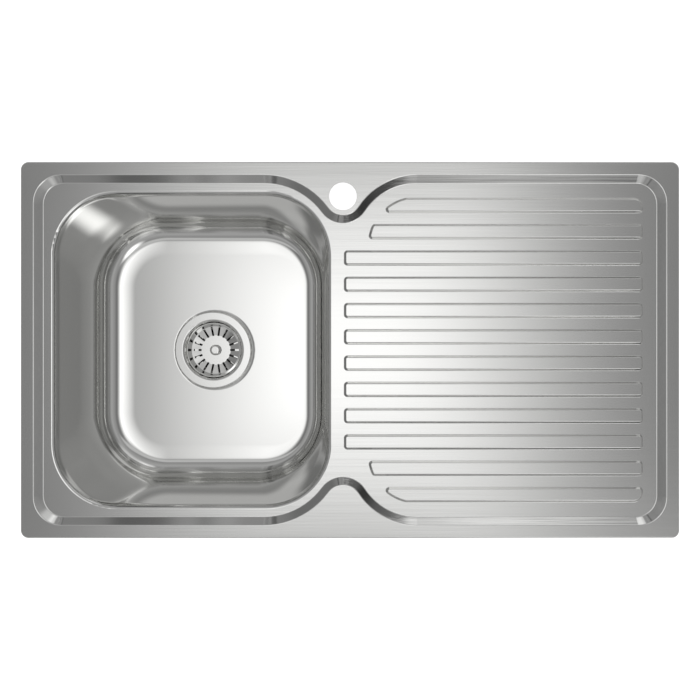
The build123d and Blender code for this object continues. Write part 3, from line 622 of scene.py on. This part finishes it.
def bowl_section(flat_inset, slow_tilt, tight_curve):
    """(inset, height) pairs from the mouth to the edge of the flat floor."""
    section = [(COLLAR_GAP, JOINT_HEIGHT), (COLLAR_GAP, NECK_HEIGHT)]
    for step in range(1, NECK_STEPS + 1):
        angle = WALL_LEAN * step / NECK_STEPS
        section.append((NECK_CURVE * (1 - math.cos(angle)) + COLLAR_GAP,
                        NECK_HEIGHT - NECK_CURVE * math.sin(angle)))
    foot = []
    for step in range(SLOW_STEPS + 1):
        tilt = slow_tilt * step / SLOW_STEPS
        foot.append((SLOW_CURVE * math.sin(tilt), SLOW_CURVE * (1 - math.cos(tilt))))
    start_out, start_up = foot[-1]
    for step in range(1, TIGHT_STEPS + 1):
        tilt = slow_tilt + (math.pi / 2 - WALL_LEAN - slow_tilt) * step / TIGHT_STEPS
        foot.append((start_out + tight_curve * (math.sin(tilt) - math.sin(slow_tilt)),
                     start_up + tight_curve * (math.cos(slow_tilt) - math.cos(tilt))))
    foot = [(flat_inset - out, FLOOR_HEIGHT + up) for out, up in reversed(foot)]
    top, bottom = section[-1], foot[0]
    for step in range(1, WALL_STEPS):
        section.append(tuple(a + (b - a) * step / WALL_STEPS for a, b in zip(top, bottom)))
    return section + foot


def bowl_ring(inset, height, right_inset, right_height):
    """One outline whose right side has a foot of its own, blended round its two right corners."""
    left = bowl_outline(MOUTH_X - inset, MOUTH_Y - inset, wall_corner(inset, height), height)
    share = clamped((height - FLOOR_HEIGHT) / CORNER_BLEND)
    corner = right_corner(inset) + (wall_corner(inset, height) - right_corner(inset)) * share
    half_x = MOUTH_X - right_inset
    right = bowl_outline(half_x, MOUTH_Y - inset, corner, height)
    ring = []
    for left_point, right_point in zip(left, right):
        x = right_point[0] - BOWL_MIDDLE.x
        if x <= 0:
            ring.append(left_point)
            continue
        turned = eased(clamped((x - half_x + corner) / corner))
        ring.append((right_point[0], right_point[1], height + (right_height - height) * turned))
    return ring


section = bowl_section(FLAT_INSET, SLOW_TILT, TIGHT_CURVE)
right_section = bowl_section(RIGHT_INSET, RIGHT_TILT, RIGHT_CURVE)
rings = [bowl_ring(*pair, *right_pair) for pair, right_pair in zip(section, right_section)]
print("bowl section points:", len(section), "points to a ring:", len(rings[0]))

# %% The floor, the dish round the waste and the waste hole
DISH_RADIUS, DISH_ASIDE = 0.0597, 0.0021
SEAT_RADIUS, SEAT_HEIGHT, HOLE_RADIUS = 0.0572, -0.1687, 0.0452
PRESS_EDGE = 0.0006
FLOOR_SHARES = (0.3, 0.6, 0.85)  # rings of the flat floor, on the way in to the dish
EDGE_RINGS = (8, 3, 1)           # rings just outside the dish, in press edges


def round_ring(radius, height, aside=0.0):
    """A circle whose points lie in the same directions as those of the floor's outline."""
    points = []
    for x, y, _ in rings[len(section) - 1]:
        away = math.hypot(x - BOWL_MIDDLE.x, y - BOWL_MIDDLE.y)
        points.append((BOWL_MIDDLE.x + aside + (x - BOWL_MIDDLE.x) * radius / away,
                       BOWL_MIDDLE.y + (y - BOWL_MIDDLE.y) * radius / away, height))
    return points


floor_edge = rings[-1]
dish_edge = round_ring(DISH_RADIUS, FLOOR_HEIGHT, DISH_ASIDE)
for share in FLOOR_SHARES:
    rings.append([tuple(a + (b - a) * share for a, b in zip(outer, inner))
                  for outer, inner in zip(floor_edge, dish_edge)])
for away in EDGE_RINGS:
    rings.append(round_ring(DISH_RADIUS + away * PRESS_EDGE, FLOOR_HEIGHT, DISH_ASIDE))
rings.append(round_ring(DISH_RADIUS, FLOOR_HEIGHT - PRESS_EDGE / 10, DISH_ASIDE))
rings.append(round_ring(SEAT_RADIUS + PRESS_EDGE / 3, SEAT_HEIGHT + PRESS_EDGE / 3))
rings.append(round_ring(SEAT_RADIUS, SEAT_HEIGHT))
rings.append(round_ring(HOLE_RADIUS, SEAT_HEIGHT))


# %% Joining the rings into the drawn bowl
def joined_rings(name, outlines):
    """A mesh of quads between closed outlines that have the same number of points."""
    count = len(outlines[0])
    faces = [(ring * count + step, ring * count + (step + 1) % count,
              (ring + 1) * count + (step + 1) % count, (ring + 1) * count + step)
             for ring in range(len(outlines) - 1) for step in range(count)]
    mesh = bpy.data.meshes.new(name)
    mesh.from_pydata([point for outline in outlines for point in outline], [], faces)
    piece = bpy.data.objects.new(name, mesh)
    bpy.context.scene.collection.objects.link(piece)
    return piece


def pick(piece):
    """Makes a piece the only selected and active object."""
    bpy.ops.object.select_all(action="DESELECT")
    piece.select_set(True)
    bpy.context.view_layer.objects.active = piece


SHEET = 0.0008
LOOKS_UP = 0.9     # upward part of a normal on the floor
FLOOR_FACES = 100  # more than this look up when the normals point into the bowl

drawn_bowl = joined_rings("drawn_bowl", rings)
pick(drawn_bowl)
bpy.ops.object.mode_set(mode="EDIT")
bpy.ops.mesh.select_all(action="SELECT")
bpy.ops.mesh.normals_make_consistent(inside=True)
bpy.ops.object.mode_set(mode="OBJECT")
inner_up = sum(p.normal.z > LOOKS_UP for p in drawn_bowl.data.polygons)
print("faces that look up:", inner_up, "of", len(drawn_bowl.data.polygons))

# %% The bowl's thickness and its two finishes
drawn_bowl.data.materials.append(bowl_steel)
drawn_bowl.data.materials.append(mill_steel)
wall = drawn_bowl.modifiers.new("sheet", "SOLIDIFY")
wall.thickness = SHEET
wall.offset = -1.0 if inner_up > FLOOR_FACES else 1.0
wall.material_offset = 1
wall.material_offset_rim = 1
pick(drawn_bowl)
bpy.ops.object.modifier_apply(modifier="sheet")
bpy.ops.object.shade_smooth_by_angle(angle=math.radians(35))
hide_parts("sink_bowl")
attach(drawn_bowl, "sink")
print("drawn bowl triangles:", sum(len(p.vertices) - 2 for p in drawn_bowl.data.polygons),
      "lowest", round(min(v.co.z for v in drawn_bowl.data.vertices) * 1000, 2), "mm")

# %% [markdown]
# ## Threads
# A thread is a ridge that climbs round a rod by one pitch a turn. Here its section is a trapezoid
# with a narrow top, which a Screw modifier sweeps round and up; its foot is sunk into the rod, and
# the two ends of the sweep are closed. The section stops short of a full pitch, so that one turn
# doesn't touch the next. The nuts turn on the clip bolts, and a trap would be screwed to the outlet
# under the waste, so both get real threads instead of a bump.

# %% A swept thread
ROOT_FROM, CREST_FROM, CREST_TO, ROOT_TO = 0.03, 0.43, 0.57, 0.97  # heights, in pitches


def swept_thread(name, root, crest, pitch, bottom, top, steps):
    """A helical ridge round the Z axis between two heights."""
    bpy.ops.object.select_all(action="DESELECT")
    bpy.ops.mesh.primitive_plane_add(size=pitch)
    thread = bpy.context.object
    thread.name = name
    corners = [(root, 0, bottom + pitch * ROOT_FROM), (crest, 0, bottom + pitch * CREST_FROM),
               (crest, 0, bottom + pitch * CREST_TO), (root, 0, bottom + pitch * ROOT_TO)]
    for vertex, place in zip((thread.data.vertices[i] for i in (0, 1, 3, 2)), corners):
        vertex.co = place
    sweep = thread.modifiers.new("climb", "SCREW")
    sweep.steps = sweep.render_steps = steps
    sweep.screw_offset = pitch
    sweep.iterations = int((top - bottom) / pitch) - 1
    sweep.use_smooth_shade = False
    bpy.ops.object.modifier_apply(modifier="climb")
    bpy.ops.object.mode_set(mode="EDIT")
    bpy.ops.mesh.select_all(action="SELECT")
    bpy.ops.mesh.remove_doubles(threshold=pitch / 1000)
    bpy.ops.mesh.fill_holes(sides=8)
    bpy.ops.mesh.normals_make_consistent(inside=False)
    bpy.ops.object.mode_set(mode="OBJECT")
    return thread


def moved_copy(piece, name, place, turn=0.0):
    """A copy with its own mesh, turned about Z and moved, with its place in its mesh."""
    copy = piece.copy()
    copy.data = piece.data.copy()
    copy.name = name
    bpy.context.scene.collection.objects.link(copy)
    copy.data.transform(Matrix.Translation(place) @ Matrix.Rotation(turn, 4, "Z"))
    return copy


def joined(pieces, name):
    """Several mesh objects made one."""
    pick(pieces[0])
    for piece in pieces[1:]:
        piece.select_set(True)
    bpy.ops.object.join()
    pieces[0].name = name
    return pieces[0]


def finish_piece(piece, material, replaced=None, smooth_below=30):
    """Gives a piece its material and shading, hides the CAD part it replaces, and hangs it under the
    sink's body.
    """
    piece.data.materials.clear()
    piece.data.materials.append(material)
    pick(piece)
    bpy.ops.object.shade_smooth_by_angle(angle=math.radians(smooth_below))
    if replaced:
        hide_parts(replaced)
    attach(piece, "sink")
    print(piece.name, "triangles:", sum(len(p.vertices) - 2 for p in piece.data.polygons))


# %% One clip bolt: a rod with a chamfered end, a T-shaped head and its thread
BOLT_LOW, BOLT_HIGH = (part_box("clip_bolts")[end].z for end in (0, 1))
BOLT_CREST, BOLT_CORE, BOLT_PITCH = 0.0025, 0.0021, 0.0008
HEAD_ACROSS, HEAD_ALONG, HEAD_THICK = 0.0068, 0.0140, 0.0020
CHAMFER, CHAMFER_SHRINK = 0.0006, 0.72
BOLT_SIDES, HEAD_ROUND = 24, 0.0005

bpy.ops.object.select_all(action="DESELECT")
bpy.ops.mesh.primitive_cylinder_add(
    vertices=BOLT_SIDES, radius=BOLT_CORE, depth=BOLT_HIGH - BOLT_LOW - CHAMFER,
    location=(0, 0, (BOLT_HIGH + BOLT_LOW) / 2))
bolt_rod = bpy.context.object
bpy.ops.object.transform_apply(location=True)
bpy.ops.object.mode_set(mode="EDIT")
bpy.ops.mesh.select_all(action="DESELECT")
bpy.ops.object.mode_set(mode="OBJECT")
lowest = min(bolt_rod.data.polygons, key=lambda p: p.center.z)
lowest.select = True
bpy.ops.object.mode_set(mode="EDIT")
bpy.ops.mesh.extrude_region_move(
    TRANSFORM_OT_translate={"value": (0, 0, BOLT_LOW - lowest.center.z)})
bpy.ops.transform.resize(value=(CHAMFER_SHRINK, CHAMFER_SHRINK, 1.0),
                         center_override=(0, 0, BOLT_LOW))
bpy.ops.object.mode_set(mode="OBJECT")

bpy.ops.object.select_all(action="DESELECT")
bpy.ops.mesh.primitive_cube_add(size=1.0, location=(0, 0, BOLT_HIGH - HEAD_THICK / 2))
bolt_head = bpy.context.object
bolt_head.scale = (HEAD_ACROSS, HEAD_ALONG, HEAD_THICK)
bpy.ops.object.transform_apply(location=True, scale=True)
rounding = bolt_head.modifiers.new("stamped edges", "BEVEL")
rounding.width, rounding.segments = HEAD_ROUND, 3
bpy.ops.object.modifier_apply(modifier="stamped edges")
print("bolt from", round(BOLT_LOW * 1000, 1), "to", round(BOLT_HIGH * 1000, 1), "mm")

# %% Eight bolts, each under its clip
CLIPS = 8
THREAD_BELOW_TOP, BOLT_THREAD_SUNK, BOLT_THREAD_STEPS = 0.0040, 0.0001, 14
NEAR_END = 0.9  # a clip further out than this share of the half length sits on a short side

bolt_thread = swept_thread("bolt_thread", BOLT_CORE - BOLT_THREAD_SUNK, BOLT_CREST, BOLT_PITCH,
                           BOLT_LOW + CHAMFER, BOLT_HIGH - THREAD_BELOW_TOP, BOLT_THREAD_STEPS)
one_bolt = joined([bolt_rod, bolt_head, bolt_thread], "one_bolt")
bolts = []
for number in range(1, CLIPS + 1):
    nut_low, nut_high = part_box(f"clip_nut_{number}")
    under = ((nut_low.x + nut_high.x) / 2, (nut_low.y + nut_high.y) / 2, 0)
    on_side = abs(under[0]) > cad_box[1].x * NEAR_END
    bolts.append(moved_copy(one_bolt, f"bolt_{number}", under, 0.0 if on_side else math.pi / 2))
bpy.data.objects.remove(one_bolt)
threaded_bolts = joined(bolts, "threaded_clip_bolts")
finish_piece(threaded_bolts, zinc, "clip_bolts")

# %% The outlet's thread
OUTLET_OUTSIDE, OUTLET_CREST, OUTLET_PITCH = 0.0239, 0.0249, 0.0023
OUTLET_THREAD_SUNK, OUTLET_THREAD_STEPS = 0.0004, 96
OUTLET_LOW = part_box("waste_body")[0].z
OUTLET_THREAD_FROM, OUTLET_THREAD_TO = OUTLET_LOW + 0.0015, OUTLET_LOW + 0.0225

drain_place = (BOWL_MIDDLE.x, BOWL_MIDDLE.y, 0)
outlet_ridge = swept_thread("outlet_ridge", OUTLET_OUTSIDE - OUTLET_THREAD_SUNK, OUTLET_CREST,
                            OUTLET_PITCH, OUTLET_THREAD_FROM, OUTLET_THREAD_TO,
                            OUTLET_THREAD_STEPS)
outlet_thread = moved_copy(outlet_ridge, "outlet_thread", drain_place)
bpy.data.objects.remove(outlet_ridge)
finish_piece(outlet_thread, plastic)

# %% [markdown]
# ## Gussets under the waste's flange
# Moulded bodies of this kind have small triangular webs between flange and cup, so that the thin
# flange stays flat when the screw pulls it up. One wedge is made, then spun round the waste.

# %% Twelve gussets
GUSSETS, GUSSET_THICK = 12, 0.0022
GUSSET_IN, GUSSET_OUT, GUSSET_TALL = 0.0465, 0.0545, 0.0130
GUSSET_SUNK, GUSSET_NOSE, GUSSET_ROUND = 0.0005, 0.0012, 0.0004
FLANGE_THICK = 0.0030
FLANGE_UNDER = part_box("waste_body")[1].z - FLANGE_THICK

bpy.ops.object.select_all(action="DESELECT")
bpy.ops.mesh.primitive_cube_add(size=1.0)
gussets = bpy.context.object
gussets.name = "flange_gussets"
for vertex in gussets.data.vertices:
    out, up = vertex.co.x > 0, vertex.co.z > 0
    vertex.co = (BOWL_MIDDLE.x + (GUSSET_OUT if out else GUSSET_IN),
                 BOWL_MIDDLE.y + math.copysign(GUSSET_THICK / 2, vertex.co.y),
                 FLANGE_UNDER + (GUSSET_SUNK if up else -GUSSET_NOSE if out else -GUSSET_TALL))
pick(gussets)
bpy.ops.object.mode_set(mode="EDIT")
bpy.ops.mesh.select_all(action="SELECT")
bpy.ops.mesh.bevel(offset=GUSSET_ROUND, segments=2, affect="EDGES")
bpy.ops.mesh.select_all(action="SELECT")
bpy.ops.mesh.spin(steps=GUSSETS - 1, dupli=True, angle=2 * math.pi * (GUSSETS - 1) / GUSSETS,
                  center=drain_place, axis=(0, 0, 1))
bpy.ops.mesh.select_all(action="SELECT")
bpy.ops.mesh.normals_make_consistent(inside=False)
bpy.ops.object.mode_set(mode="OBJECT")
finish_piece(gussets, plastic)

# %% [markdown]
# ## The weld
# The bowl is butt-welded to the deck's collar. Inside, the seam is ground flush and can't be seen.
# Outside a low bead stays, straw-coloured by the heat. It is a ring of small sections round the
# same outline as the bowl's mouth, a sheet's thickness further out.

# %% The bead round the bowl's mouth
BEAD_RADIUS, BEAD_SIDES, BEAD_FLATNESS = 0.0007, 10, 0.8
SAME_POINT = 0.00001  # closes the ring of sections

bead_rings = []
for bead_side in range(BEAD_SIDES + 1):
    angle = 2 * math.pi * bead_side / BEAD_SIDES
    wider = SHEET + BEAD_RADIUS * BEAD_FLATNESS * math.cos(angle)
    bead_rings.append(bowl_outline(MOUTH_X + wider, MOUTH_Y + wider, MOUTH_CORNER + wider,
                                   NECK_HEIGHT + BEAD_RADIUS * math.sin(angle)))
weld_bead = joined_rings("weld_bead", bead_rings)
pick(weld_bead)
bpy.ops.object.mode_set(mode="EDIT")
bpy.ops.mesh.select_all(action="SELECT")
bpy.ops.mesh.remove_doubles(threshold=SAME_POINT)
bpy.ops.mesh.normals_make_consistent(inside=False)
bpy.ops.object.mode_set(mode="OBJECT")
finish_piece(weld_bead, weld_steel, smooth_below=60)
